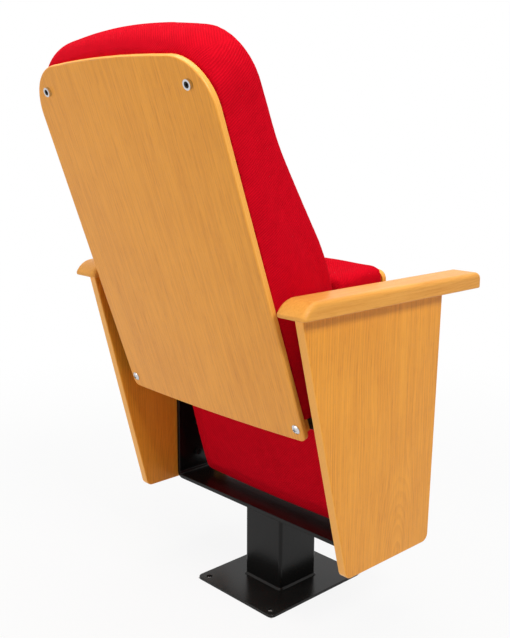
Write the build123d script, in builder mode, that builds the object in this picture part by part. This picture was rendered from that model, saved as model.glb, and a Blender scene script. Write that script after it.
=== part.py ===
"""Tip up auditorium seat on one central post, in millimetres, +Z up.

The origin is on the floor under the middle of the base plate. The sitter faces -Y, and left and
right are the sitter's own, so left is +X. The seat is modelled folded up against the back.
"""

from build123d import *
from math import asin, atan, cos, degrees, pi, radians, sin, sqrt, tan
import os

os.makedirs("parts", exist_ok=True)

SIDES = {"left": 1, "right": -1}

# Clearances
soft_gap = 0.3          # foam to whatever it lies against
fixed_fit = 0.05        # radial play of a pin, bolt or stud that doesn't turn
running_fit = 0.05      # radial play of the seat's bush on its pin
bolt_play = 0.25        # radial play of a bolt in a clearance hole
side_play = 0.5         # end play of the seat between its two hinges

# Base plate and post
plate_width = 215
plate_depth = 254
plate_thick = 5
plate_corner_r = 11
plate_edge = 0.8
anchor_pitch_x = 176
anchor_pitch_y = 222
anchor_hole_d = 12
post_size = 100
post_wall = 3
post_corner_r = 6
post_height = 143
post_forward = 3        # the post stands this far in front of the plate's middle
weld_leg = 4

# U frame, bent from one steel strap as deep as the post
frame_width = 538       # over the two uprights
strap_thick = 8
strap_bend_r = 15
strap_edge_r = 1
upright_drop = 16       # the side boards' top edge above the uprights' ends

# Side boards and arm rests
board_thick = 18
board_top = 612
board_rear_top = 244
board_rear_bottom = 126
board_front_top = -110
board_front_bottom = -99
board_corner_r = 15
board_edge_r = 2.5
arm_width = 62
arm_thick = 28
arm_rear = 262
arm_front = -199
arm_inboard = 1         # how far the arm rest's middle stands inside the board's middle
arm_rear_fall = 36      # length over which the rear end falls in an arc
arm_rear_lip = 6        # height of the rear end's upright foot
arm_front_r = 12
arm_edge_r = 9
arm_underside_r = 2.5
dowel_d = 10
dowel_in_board = 24
dowel_in_arm = 16
dowel_end_gap = 1
dowel_y = (-60, 190)
upright_top = board_top - upright_drop
upright_inner = frame_width / 2 - strap_thick

# Back: s runs up the rear panel from its bottom edge, t runs forwards from its rear face
back_tilt = 19.4
back_y = 177            # rear face's bottom edge
back_z = 389
back_panel_thick = 11
back_panel_height = 636
back_side_room = 26     # between the rear panel's foot and each upright
back_taper = 4
back_panel_half_bottom = upright_inner - back_side_room
back_panel_half_top = back_panel_half_bottom - back_taper
back_panel_corner_r = 82
back_panel_foot_r = 13
back_panel_edge_r = 3
back_top_rise = 5       # arch of the panel's top edge
back_foot_sag = 5       # bow of the panel's bottom edge
back_board_thick = 12
back_board_foot = 10
back_board_top = 618
back_board_half_bottom = back_panel_half_bottom - 8
back_board_half_top = back_panel_half_top - 10
back_board_corner_r = 68

# Back cushion: the front face's line up the back as (s, t, share of the crown), joined by a
# line and then by arcs through each next pair of points
cushion_underside_z = 424
cushion_rim_r = 15
cushion_line = (
    (-40, 101, 0),
    (48, 115.5, 0),
    (137, 134.5, 0),
    (225, 150, 0.2),
    (262, 148.9, 0.3),
    (300, 144.8, 0.5),
    (370, 130.8, 1),
    (440, 115.5, 1),
    (470, 110.3, 1),
    (500, 107.5, 1),
    (565, 104.5, 1),
    (690, 94, 1),
)
# its bulge in t at shares of the half width
cushion_crown = ((-1.03, -5), (-0.55, -1), (0, 1), (0.55, -1), (1.03, -5))
# its outline as (t, wider than the panel at the foot, at the top, corners' top above the
# panel's, rise, corner r)
cushion_outlines = (
    (11.3, -3, -2, 1, 7, 82),
    (30, -1, 1, 19, 9, 86),
    (52, -0.5, 2, 25, 10, 88),
    (170, -0.5, 2, 25, 10, 88),
)

# Seat: a runs forwards from the hinge axis and b upwards from it, with the seat down
hinge_y = -30
hinge_z = 340
seat_lean = 7           # how far past upright the folded seat leans
seat_turn = 97          # from folded up to ready to sit on
seat_panel_thick = 12
seat_board_thick = 12
hinge_rise = 35         # hinge axis above the seat's underside
seat_side_room = 31     # between the cushion's side and each upright
seat_half = upright_inner - seat_side_room
seat_rim_r = 10
seat_foot_r = 6
seat_panel_half = seat_half - 3
seat_panel_front = 311
seat_panel_rear = 164
seat_panel_corner_r = 15
seat_panel_edge_r = 4
seat_board_half = seat_half - 16
seat_board_front = 286
seat_board_rear = 146
seat_board_corner_r = 18

# Seat cushion: the sitting face's line as (a, b), an arc through three points
seat_line = ((-190, 49), (60, 89.5), (340, 92))
# its bulge in b at shares of the half width
seat_crown = ((-1.05, -6.5), (-0.52, -1.5), (0, 0.5), (0.52, -1.5), (1.05, -6.5))
seat_front_corner_r = 16
seat_rear_corner_r = 12
seat_draw_in = 3        # how far the cushion's sides pull in between its corners
# its outline as (b, front, rear, narrower on each side)
seat_outlines = (
    (-22.7, 320.5, 167, 1),
    (30, 324, 169.5, 0),
    (110, 321, 168, 0.5),
)

# Hinges
hinge_plate_thick = 5
hinge_plate_gap = 2     # cushion's side to the hinge plate
hinge_plate_half = 72   # half the flange's length
hinge_flange = 46
hinge_hub_r = 26
hinge_screw_inset = 32   # hinge plate's outer face to its screws
hinge_screw_pitch = 50
pin_d = 14
bush_wall = 2
bush_flange_thick = 1.5
bush_flange_r = 11.5
housing_floor = 6
housing_wall = 5
housing_bore_r = 18
housing_boss_r = 10
housing_ear_r = 8
housing_ear_at = 30
housing_ear_angles = (40, 250)
ear_screw_d = 5
ear_screw_head_d = 9.5
ear_screw_head = 3.2
spring_wire = 3
spring_r = 13.5
spring_turns = 3
spring_bend_r = 3.5
spring_leg_in_plate = 3.5
spring_leg_in_floor = 4
spring_hole_play = 0.3
spring_coil_gap = 0.5
spring_floor_gap = 0.3
spring_start_angle = 90
pin_proud = 0.5         # pins and stops reach this far inside the hinge plates
stop_at = 45            # hinge axis to each stop
stop_d = 8
stop_sleeve_d = 14
stop_clear = 0.3
stop_edge_angle = 20    # the hinge plate's two stop faces lie this far below its flat

# Brackets and fasteners
bracket_thick = 5
bracket_flange_foot = 12
bracket_step_s = 32      # the flange reaches out to the plate below this
bracket_flange_top = 150
bracket_flange_inner = upright_inner - 73
bracket_flange_outer = upright_inner - 36
bracket_front_y = -15
bracket_plate_bottom = 400
bracket_plate_top = 560
bracket_bolt_back = 20  # bolts' distance behind the upright's middle
m8_d = 8
m8_head = 13
m8_head_height = 5.3
frame_bolt_length = 22
insert_d = 12
insert_length = 15
bracket_bolt_zs = (430, 530)
frame_bolt_zs = (196, 264)
bracket_screw_s = (60, 125)
bracket_screw_length = 16
cup_d = 16
cup_height = 5
cup_wall = 3
cup_floor = 1
top_screw_x = back_panel_half_top - 44
top_screw_s = 594
top_screw_d = 6
top_screw_head_d = 9.5
top_screw_length = 23
top_screw_head = 3.4
top_screw_socket = 5
bottom_screw_x = back_panel_half_bottom - 15
bottom_screw_s = 23
bottom_screw_d = 6
bottom_screw_head_d = 17
bottom_screw_head = 4.5
back_insert_d = 9
seat_screw_d = 5
seat_screw_head_d = 9.5
seat_screw_x = seat_half - 80
seat_screw_a = (-100, 60, 220)
flange_screw_d = 6
flange_screw_head_d = 12
flange_screw_head = 3.4
screw_bite = 8          # how far a wood screw goes into an inner board

# Places worked out from the sizes above
post_y = -post_forward
frame_rear = post_y + post_size / 2
post_top = plate_thick + post_height
board_inner = frame_width / 2
board_middle = board_inner + board_thick / 2
arm_middle = board_middle - arm_inboard
hinge_plate_inner = seat_half + hinge_plate_gap
hinge_plate_outer = hinge_plate_inner + hinge_plate_thick
hinge_screw_x = hinge_plate_outer - hinge_screw_inset
housing_rim = hinge_plate_outer + bush_flange_thick + side_play
housing_floor_x = upright_inner - housing_floor
seat_underside = -hinge_rise
flange_underside = seat_underside - hinge_plate_thick
seat_panel_top = seat_underside + seat_panel_thick
back_board_front = back_panel_thick + back_board_thick
bracket_flange_front = back_board_front + bracket_thick
bracket_screw_x = (bracket_flange_inner + bracket_flange_outer) / 2
inner_x = hinge_plate_inner - pin_proud
spring_pitch = spring_wire + spring_coil_gap
coil_slope = atan(spring_pitch / (2 * pi * spring_r))
bend_inwards = spring_bend_r * cos(coil_slope)
bend_along = spring_bend_r * (1 - sin(coil_slope))
spring_leg_r = sqrt(spring_r**2 + bend_along**2)
spring_leg_turn = degrees(atan(bend_along / spring_r))
coil_start_x = housing_floor_x - spring_floor_gap - bend_inwards

hinge_point = Vector(0, hinge_y, hinge_z)
seat_forward = Vector(0, sin(radians(seat_lean)), cos(radians(seat_lean)))
seat_up = Vector(0, cos(radians(seat_lean)), -sin(radians(seat_lean)))
back_foot = Vector(0, back_y, back_z)
back_up = Vector(0, sin(radians(back_tilt)), cos(radians(back_tilt)))
back_ahead = Vector(0, -cos(radians(back_tilt)), sin(radians(back_tilt)))


def seat_section(x):
    """Plane across the hinge axis at x: its x is the seat's forwards, its y the seat's up."""
    return Plane(origin=hinge_point + Vector(x, 0, 0), x_dir=seat_forward, z_dir=(-1, 0, 0))


def seat_level(b):
    """Plane parallel to the seat's underside at height b: its x is forwards, its y is +X."""
    return Plane(origin=hinge_point + seat_up * b, x_dir=seat_forward, z_dir=seat_up)


def back_layer(t):
    """Plane parallel to the rear panel, t in front of its rear face: its x is +X, its y is up."""
    return Plane(origin=back_foot + back_ahead * t, x_dir=(1, 0, 0), z_dir=back_ahead)


def back_section(x):
    """Plane across the back at x: its x runs up the panel and its y forwards."""
    return Plane(origin=back_foot + Vector(x, 0, 0), x_dir=back_up, z_dir=(1, 0, 0))


def back_point(s, t, x=0):
    return back_foot + back_up * s + back_ahead * t + Vector(x, 0, 0)


def back_place(point):
    return (point - back_foot).dot(back_up), (point - back_foot).dot(back_ahead)


def seat_point(a, b, x=0):
    return hinge_point + seat_forward * a + seat_up * b + Vector(x, 0, 0)


def side_plane(x, side):
    """Plane at side * x that faces away from the seat's middle: its x is side * Y, its y is +Z."""
    return Plane(origin=(side * x, 0, 0), x_dir=(0, side, 0), z_dir=(side, 0, 0))


def at_hinge(radius, angle):
    """Y and Z of the point at a radius and an angle from +Y about the hinge axis."""
    return hinge_y + radius * cos(radians(angle)), hinge_z + radius * sin(radians(angle))


def save(piece, name):
    """Names a finished piece and writes it to its own file."""
    piece.part.label = name
    export_step(piece.part, f"parts/{name}.step")


def rounded_outline(half_bottom, half_top, foot, top, corner_r, rise=0, sag=0):
    """Outline of a board of the back: tapered, with round top corners and bowed ends."""
    corner_y = top - corner_r
    side_x = half_top + (half_bottom - half_top) * corner_r / (top - foot)
    top_x = half_top - corner_r
    mid_x = top_x + corner_r * sqrt(0.5)
    mid_y = corner_y + corner_r * sqrt(0.5)
    with BuildSketch(Plane.XY) as outline:
        with BuildLine():
            if sag:
                ThreePointArc((-half_bottom, foot), (0, foot - sag), (half_bottom, foot))
            else:
                Line((-half_bottom, foot), (half_bottom, foot))
            Line((half_bottom, foot), (side_x, corner_y))
            ThreePointArc((side_x, corner_y), (mid_x, mid_y), (top_x, top))
            if rise:
                ThreePointArc((top_x, top), (0, top + rise), (-top_x, top))
            else:
                Line((top_x, top), (-top_x, top))
            ThreePointArc((-top_x, top), (-mid_x, mid_y), (-side_x, corner_y))
            Line((-side_x, corner_y), (-half_bottom, foot))
        make_face()
    return outline.sketch


def seat_outline(front, rear, half):
    """Outline of the seat cushion: x is forwards, with its sides drawn in."""
    middle = (front - rear) / 2
    with BuildSketch(Plane.XY) as outline:
        with BuildLine():
            Line((-rear, -half), (-rear, half))
            ThreePointArc((-rear, half), (middle, half - seat_draw_in), (front, half))
            Line((front, half), (front, -half))
            ThreePointArc((front, -half), (middle, seat_draw_in - half), (-rear, -half))
        make_face()
        fillet(outline.vertices().group_by(Axis.X)[0], seat_rear_corner_r)
        fillet(outline.vertices().group_by(Axis.X)[-1], seat_front_corner_r)
    return outline.sketch


def hex_bolt(length):
    """M8 hexagon bolt along Z: its head stands on the XY plane and its shank hangs below."""
    with BuildPart() as bolt:
        with BuildSketch(Plane.XY):
            RegularPolygon(m8_head / 2, 6, major_radius=False)
        extrude(amount=m8_head_height)
        with BuildSketch(Plane.XY):
            Circle(m8_d / 2)
        extrude(amount=-length)
    return bolt.part


def round_head_screw(shank_d, length, head_d, head_height):
    """Cross-slotted screw along Z: its domed head stands on the XY plane."""
    with BuildPart() as screw:
        with BuildSketch(Plane.XZ):
            with BuildLine():
                Line((0, head_height), (0, -length))
                Line((0, -length), (shank_d / 2, -length))
                Line((shank_d / 2, -length), (shank_d / 2, 0))
                Line((shank_d / 2, 0), (head_d / 2, 0))
                Line((head_d / 2, 0), (head_d / 2, head_height * 0.3))
                TangentArc((0, head_height), (head_d / 2, head_height * 0.3), tangent=(1, 0))
            make_face()
        revolve(axis=Axis.Z)
        with BuildSketch(Plane.XY.offset(head_height * 0.4)):
            Rectangle(head_d * 0.5, head_d * 0.1)
            Rectangle(head_d * 0.1, head_d * 0.5)
        extrude(amount=head_height, mode=Mode.SUBTRACT)
    return screw.part


def flat_head_screw(shank_d, length, head_d):
    """Countersunk screw along Z: its flat head lies in the XY plane."""
    cone = (head_d - shank_d) / 2
    with BuildPart() as screw:
        with BuildSketch(Plane.XZ):
            with BuildLine():
                Polyline(
                    (0, 0),
                    (0, -length),
                    (shank_d / 2, -length),
                    (shank_d / 2, -cone),
                    (head_d / 2, 0),
                    close=True,
                )
            make_face()
        revolve(axis=Axis.Z)
        with BuildSketch(Plane.XY):
            Rectangle(head_d * 0.5, head_d * 0.1)
            Rectangle(head_d * 0.1, head_d * 0.5)
        extrude(amount=-cone * 0.7, mode=Mode.SUBTRACT)
    return screw.part


# Points on the uprights, as (Y, Z)
ear_points = [at_hinge(housing_ear_at, angle) for angle in housing_ear_angles]
stop_half_angle = degrees(asin((stop_sleeve_d / 2 + stop_clear) / stop_at))
folded_angle = 90 - seat_lean
stop_points = [
    at_hinge(stop_at, folded_angle + stop_edge_angle - stop_half_angle),
    at_hinge(stop_at, folded_angle + 180 - stop_edge_angle + seat_turn + stop_half_angle),
]
bracket_bolt_points = [(post_y + bracket_bolt_back, z) for z in bracket_bolt_zs]
frame_bolt_points = [(post_y, z) for z in frame_bolt_zs]
bolt_points = bracket_bolt_points + frame_bolt_points

# Base plate, with its four anchor holes
with BuildPart() as base_plate:
    with BuildSketch():
        RectangleRounded(plate_width, plate_depth, plate_corner_r)
        with GridLocations(anchor_pitch_x, anchor_pitch_y, 2, 2):
            Circle(anchor_hole_d / 2, mode=Mode.SUBTRACT)
    extrude(amount=plate_thick)
    plate_rim = base_plate.faces().sort_by(Axis.Z)[-1].outer_wire().edges()
    chamfer(plate_rim, length=plate_edge)
save(base_plate, "base_plate")

# Post: a square tube
with BuildPart() as post_tube:
    with BuildSketch(Plane.XY.offset(plate_thick)):
        with Locations((0, post_y)):
            RectangleRounded(post_size, post_size, post_corner_r)
            bore = post_size - 2 * post_wall
            RectangleRounded(bore, bore, post_corner_r - post_wall, mode=Mode.SUBTRACT)
    extrude(amount=post_height)
save(post_tube, "post_tube")

# Weld bead round the post's foot: a ring with a sloping outer face
with BuildPart() as post_weld:
    with BuildSketch(Plane.XY.offset(plate_thick)):
        with Locations((0, post_y)):
            bead_size = post_size + 2 * weld_leg
            RectangleRounded(bead_size, bead_size, post_corner_r + weld_leg)
            RectangleRounded(post_size, post_size, post_corner_r, mode=Mode.SUBTRACT)
    extrude(amount=weld_leg)
    bead_rim = post_weld.faces().sort_by(Axis.Z)[-1].outer_wire().edges()
    chamfer(bead_rim, length=weld_leg * 0.8)
save(post_weld, "post_weld")

# U frame, with the holes for pins, stops, housings and bolts in both uprights
with BuildPart() as u_frame:
    with BuildSketch(Plane.XZ.offset(-frame_rear)) as strap:
        with BuildLine():
            Polyline(
                (-board_inner, upright_top),
                (-board_inner, post_top),
                (board_inner, post_top),
                (board_inner, upright_top),
                (upright_inner, upright_top),
                (upright_inner, post_top + strap_thick),
                (-upright_inner, post_top + strap_thick),
                (-upright_inner, upright_top),
                close=True,
            )
        make_face()
        fillet(strap.vertices().group_by(Axis.Y)[0], strap_bend_r)
        fillet(strap.vertices().group_by(Axis.Y)[1], strap_bend_r - strap_thick)
    extrude(amount=post_size)
    fillet(u_frame.faces().filter_by(Axis.Y).edges(), strap_edge_r)
    for side in SIDES.values():
        with BuildSketch(side_plane(upright_inner, side)):
            with Locations((side * hinge_y, hinge_z)):
                Circle(pin_d / 2 + fixed_fit)
            with Locations([(side * y, z) for y, z in ear_points]):
                Circle(ear_screw_d / 2 + fixed_fit)
            with Locations([(side * y, z) for y, z in stop_points]):
                Circle(stop_d / 2 + fixed_fit)
            with Locations([(side * y, z) for y, z in bolt_points]):
                Circle(m8_d / 2 + bolt_play)
        extrude(amount=strap_thick, mode=Mode.SUBTRACT)
save(u_frame, "u_frame")

# Side boards, with blind holes for the insert nuts and the arm rests' dowels
for name, side in SIDES.items():
    with BuildPart() as side_board:
        with BuildSketch(side_plane(board_inner, side)) as board_side:
            with BuildLine():
                Polyline(
                    (side * board_rear_top, board_top),
                    (side * board_rear_bottom, post_top),
                    (side * board_front_bottom, post_top),
                    (side * board_front_top, board_top),
                    close=True,
                )
            make_face()
            fillet(board_side.vertices().group_by(Axis.Y)[0], board_corner_r)
        extrude(amount=board_thick)
        board_rims = side_board.faces().filter_by(Axis.X).edges()
        fillet(board_rims.filter_by(lambda rim: rim.center().Z < board_top - 1), board_edge_r)
        with BuildSketch(side_plane(board_inner, side)):
            with Locations([(side * y, z) for y, z in bolt_points]):
                Circle(insert_d / 2 + fixed_fit)
        extrude(amount=insert_length, mode=Mode.SUBTRACT)
        with BuildSketch(Plane.XY.offset(board_top)):
            with Locations([(side * board_middle, y) for y in dowel_y]):
                Circle(dowel_d / 2 + fixed_fit)
        extrude(amount=-dowel_in_board, mode=Mode.SUBTRACT)
    save(side_board, f"side_board_{name}")

# Threaded inserts in the side boards
for name, side in SIDES.items():
    with BuildPart() as board_inserts:
        with BuildSketch(side_plane(board_inner, side)):
            with Locations([(side * y, z) for y, z in bolt_points]):
                Circle(insert_d / 2)
                Circle(m8_d / 2 + fixed_fit, mode=Mode.SUBTRACT)
        extrude(amount=insert_length)
    save(board_inserts, f"board_inserts_{name}")

# Arm rests: the rear end falls in an arc that leaves the top level, and all top edges are eased
for name, side in SIDES.items():
    with BuildPart() as arm_rest:
        with BuildSketch(side_plane(arm_middle - arm_width / 2, side)) as arm_side:
            with BuildLine():
                Polyline(
                    (side * arm_rear, board_top + arm_rear_lip),
                    (side * arm_rear, board_top),
                    (side * arm_front, board_top),
                    (side * arm_front, board_top + arm_thick),
                    (side * (arm_rear - arm_rear_fall), board_top + arm_thick),
                )
                TangentArc(
                    (side * (arm_rear - arm_rear_fall), board_top + arm_thick),
                    (side * arm_rear, board_top + arm_rear_lip),
                    tangent=(side, 0),
                )
            make_face()
            front = arm_side.vertices().group_by(Axis.Y)[-1].sort_by(Axis.X)[0 if side > 0 else -1]
            fillet(front, arm_front_r)
        extrude(amount=arm_width)
        rims = arm_rest.faces().filter_by(Axis.X).edges()
        fillet(rims.filter_by(lambda rim: rim.center().Z > board_top + 1), arm_edge_r)
        fillet(arm_rest.faces().sort_by(Axis.Z)[0].edges(), arm_underside_r)
        with BuildSketch(Plane.XY.offset(board_top)):
            with Locations([(side * board_middle, y) for y in dowel_y]):
                Circle(dowel_d / 2 + fixed_fit)
        extrude(amount=dowel_in_arm + dowel_end_gap, mode=Mode.SUBTRACT)
    save(arm_rest, f"arm_rest_{name}")

# Dowels between each side board and its arm rest
for name, side in SIDES.items():
    with BuildPart() as arm_dowels:
        with BuildSketch(Plane.XY.offset(board_top - dowel_in_board)):
            with Locations([(side * board_middle, y) for y in dowel_y]):
                Circle(dowel_d / 2)
        extrude(amount=dowel_in_board + dowel_in_arm)
    save(arm_dowels, f"arm_dowels_{name}")

# Rear panel of the back
back_axis = Axis(back_foot, back_ahead)
with BuildPart() as back_panel:
    with BuildSketch(back_layer(0)) as panel_outline:
        add(
            rounded_outline(
                back_panel_half_bottom,
                back_panel_half_top,
                0,
                back_panel_height,
                back_panel_corner_r,
                rise=back_top_rise,
                sag=back_foot_sag,
            )
        )
        feet = panel_outline.vertices().sort_by(SortBy.DISTANCE)[:2]
        fillet(feet, back_panel_foot_r)
        with Locations((-top_screw_x, top_screw_s), (top_screw_x, top_screw_s)):
            Circle(top_screw_d / 2 + bolt_play, mode=Mode.SUBTRACT)
        with Locations((-bottom_screw_x, bottom_screw_s), (bottom_screw_x, bottom_screw_s)):
            Circle(bottom_screw_d / 2 + bolt_play, mode=Mode.SUBTRACT)
    extrude(amount=back_panel_thick)
    fillet(back_panel.faces().sort_by(back_axis)[0].outer_wire().edges(), back_panel_edge_r)
    fillet(back_panel.faces().sort_by(back_axis)[-1].outer_wire().edges(), back_panel_edge_r)
save(back_panel, "back_panel")

# Inner board of the back, which carries the foam and the brackets
with BuildPart() as back_board:
    with BuildSketch(back_layer(back_panel_thick)):
        add(
            rounded_outline(
                back_board_half_bottom,
                back_board_half_top,
                back_board_foot,
                back_board_top,
                back_board_corner_r,
            )
        )
        with Locations((-bottom_screw_x, bottom_screw_s), (bottom_screw_x, bottom_screw_s)):
            Circle(bottom_screw_d / 2 + fixed_fit, mode=Mode.SUBTRACT)
        with Locations((-top_screw_x, top_screw_s), (top_screw_x, top_screw_s)):
            Circle(back_insert_d / 2 + fixed_fit, mode=Mode.SUBTRACT)
        for x in (-bracket_screw_x, bracket_screw_x):
            with Locations([(x, s) for s in bracket_screw_s]):
                Circle(m8_d / 2 + fixed_fit, mode=Mode.SUBTRACT)
    extrude(amount=back_board_thick)
save(back_board, "back_board")

# Threaded inserts for the two top screws
with BuildPart() as back_inserts:
    with BuildSketch(back_layer(back_panel_thick)):
        with Locations((-top_screw_x, top_screw_s), (top_screw_x, top_screw_s)):
            Circle(back_insert_d / 2)
            Circle(top_screw_d / 2 + fixed_fit, mode=Mode.SUBTRACT)
    extrude(amount=back_board_thick)
save(back_inserts, "back_inserts")

# Back cushion: its profile lofted across the width, kept inside its outline, cut level below,
# rounded, and hollowed for the board, the brackets and their screws
with BuildPart() as back_cushion:
    for place, bulge in cushion_crown:
        line = [(s, t + bulge * share) for s, t, share in cushion_line]
        with BuildSketch(back_section(place * back_panel_half_bottom)):
            with BuildLine():
                Line((line[0][0], back_panel_thick + soft_gap), line[0])
                Line(line[0], line[1])
                for start, middle, end in zip(line[1::2], line[2::2], line[3::2]):
                    ThreePointArc(start, middle, end)
                Line(line[-1], (line[-1][0], back_panel_thick + soft_gap))
                Line(
                    (line[-1][0], back_panel_thick + soft_gap),
                    (line[0][0], back_panel_thick + soft_gap),
                )
            make_face()
    loft()
    for t, wider_foot, wider_top, higher, rise, corner_r in cushion_outlines:
        with BuildSketch(back_layer(t)):
            add(
                rounded_outline(
                    back_panel_half_bottom + wider_foot,
                    back_panel_half_top + wider_top,
                    cushion_line[0][0],
                    back_panel_height + higher,
                    corner_r,
                    rise=rise,
                )
            )
    loft(mode=Mode.INTERSECT)
    split(bisect_by=Plane.XY.offset(cushion_underside_z), keep=Keep.TOP)
    rim_depth = cushion_line[-1][1] - cushion_rim_r
    rim = back_cushion.edges().filter_by(lambda edge: back_place(edge.center())[1] > rim_depth)
    long_rim = rim.filter_by(lambda edge: abs(edge.center().X) > back_panel_half_top / 2)
    top_rim = rim.filter_by(lambda edge: back_place(edge.center())[0] > back_panel_height)
    fillet(long_rim + top_rim, cushion_rim_r)
    with BuildSketch(back_layer(back_panel_thick)):
        add(
            rounded_outline(
                back_board_half_bottom + soft_gap,
                back_board_half_top + soft_gap,
                back_board_foot - soft_gap,
                back_board_top + soft_gap,
                back_board_corner_r + soft_gap,
            )
        )
    extrude(amount=back_board_thick + soft_gap, mode=Mode.SUBTRACT)
    with BuildSketch(back_layer(back_board_front)):
        for side in SIDES.values():
            with Locations((side * bracket_screw_x, bracket_flange_top / 2)):
                Rectangle(
                    bracket_flange_outer - bracket_flange_inner + 2 * soft_gap,
                    bracket_flange_top + 2 * soft_gap,
                )
            notch_inner = bracket_flange_inner - soft_gap
            notch_top = bracket_step_s + soft_gap
            with Locations((side * (upright_inner + notch_inner) / 2, notch_top / 2)):
                Rectangle(upright_inner - notch_inner, notch_top)
    extrude(amount=bracket_thick + m8_head_height + soft_gap, mode=Mode.SUBTRACT)
save(back_cushion, "back_cushion")

# Brackets that carry the back: a plate on each upright and a flange on the inner board
for name, side in SIDES.items():
    plate_foot = back_point(bracket_flange_foot, back_board_front)
    plate_head = back_point(bracket_flange_top, back_board_front)
    with BuildPart() as back_bracket:
        with BuildSketch(side_plane(upright_inner - bracket_thick, side)):
            with BuildLine():
                Polyline(
                    (side * bracket_front_y, bracket_plate_bottom),
                    (side * plate_foot.Y, plate_foot.Z),
                    (side * plate_head.Y, plate_head.Z),
                    (side * bracket_front_y, bracket_plate_top),
                    close=True,
                )
            make_face()
            with Locations([(side * y, z) for y, z in bracket_bolt_points]):
                Circle(m8_d / 2 + bolt_play, mode=Mode.SUBTRACT)
        extrude(amount=bracket_thick)
        with BuildSketch(back_layer(back_board_front)):
            with Locations(
                (
                    side * (upright_inner + bracket_flange_inner) / 2,
                    (bracket_flange_foot + bracket_step_s) / 2,
                )
            ):
                Rectangle(
                    upright_inner - bracket_flange_inner,
                    bracket_step_s - bracket_flange_foot,
                )
            with Locations(
                (side * bracket_screw_x, (bracket_flange_foot + bracket_flange_top) / 2)
            ):
                Rectangle(
                    bracket_flange_outer - bracket_flange_inner,
                    bracket_flange_top - bracket_flange_foot,
                )
            with Locations((side * bottom_screw_x, bottom_screw_s)):
                Circle(bottom_screw_d / 2 + fixed_fit, mode=Mode.SUBTRACT)
            with Locations([(side * bracket_screw_x, s) for s in bracket_screw_s]):
                Circle(m8_d / 2 + bolt_play, mode=Mode.SUBTRACT)
        extrude(amount=bracket_thick)
    save(back_bracket, f"back_bracket_{name}")

# Bolts through the brackets and the uprights into the side boards' inserts
frame_bolt = hex_bolt(frame_bolt_length)
for name, side in SIDES.items():
    bracket_seats = [
        Plane(origin=(side * (upright_inner - bracket_thick), y, z), z_dir=(-side, 0, 0))
        for y, z in bracket_bolt_points
    ]
    upright_seats = [
        Plane(origin=(side * upright_inner, y, z), z_dir=(-side, 0, 0))
        for y, z in frame_bolt_points
    ]
    with BuildPart() as frame_bolts:
        with Locations(*bracket_seats, *upright_seats):
            add(frame_bolt)
    save(frame_bolts, f"frame_bolts_{name}")

# Bolts through each bracket's flange into the inner board
bracket_screw = hex_bolt(bracket_screw_length)
for name, side in SIDES.items():
    with BuildPart() as bracket_screws:
        with Locations(
            *[
                Plane(
                    origin=back_point(s, bracket_flange_front, side * bracket_screw_x),
                    x_dir=(1, 0, 0),
                    z_dir=back_ahead,
                )
                for s in bracket_screw_s
            ]
        ):
            add(bracket_screw)
    save(bracket_screws, f"bracket_screws_{name}")

# Cups and socket screws at the top of the rear panel
with BuildPart() as top_cups:
    with BuildSketch(back_layer(-cup_height)):
        with Locations((-top_screw_x, top_screw_s), (top_screw_x, top_screw_s)):
            Circle(cup_d / 2)
            Circle(cup_d / 2 - cup_wall, mode=Mode.SUBTRACT)
    extrude(amount=cup_height)
    with BuildSketch(back_layer(-cup_floor)):
        with Locations((-top_screw_x, top_screw_s), (top_screw_x, top_screw_s)):
            Circle(cup_d / 2)
            Circle(top_screw_d / 2 + bolt_play, mode=Mode.SUBTRACT)
    extrude(amount=cup_floor)
save(top_cups, "top_cups")

with BuildPart() as socket_screw:
    with BuildSketch(Plane.XY):
        Circle(top_screw_head_d / 2)
    extrude(amount=top_screw_head)
    with BuildSketch(Plane.XY):
        Circle(top_screw_d / 2)
    extrude(amount=-top_screw_length)
    with BuildSketch(Plane.XY.offset(top_screw_head)):
        RegularPolygon(top_screw_socket / 2, 6, major_radius=False)
    extrude(amount=-top_screw_head * 0.7, mode=Mode.SUBTRACT)

with BuildPart() as top_screws:
    with Locations(
        *[
            Plane(
                origin=back_point(top_screw_s, -cup_floor, x),
                x_dir=(1, 0, 0),
                z_dir=-back_ahead,
            )
            for x in (-top_screw_x, top_screw_x)
        ]
    ):
        add(socket_screw.part)
save(top_screws, "top_screws")

# Domed screws at the foot of the rear panel, into the brackets' flanges
bottom_screw = round_head_screw(
    bottom_screw_d, bracket_flange_front, bottom_screw_head_d, bottom_screw_head
)
with BuildPart() as bottom_screws:
    with Locations(
        *[
            Plane(origin=back_point(bottom_screw_s, 0, x), x_dir=(1, 0, 0), z_dir=-back_ahead)
            for x in (-bottom_screw_x, bottom_screw_x)
        ]
    ):
        add(bottom_screw)
save(bottom_screws, "bottom_screws")

# Hinge pins, fixed in the uprights
for name, side in SIDES.items():
    with BuildPart() as hinge_pin:
        with BuildSketch(side_plane(inner_x, side)):
            with Locations((side * hinge_y, hinge_z)):
                Circle(pin_d / 2)
        extrude(amount=board_inner - inner_x)
    save(hinge_pin, f"hinge_pin_{name}")

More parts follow.
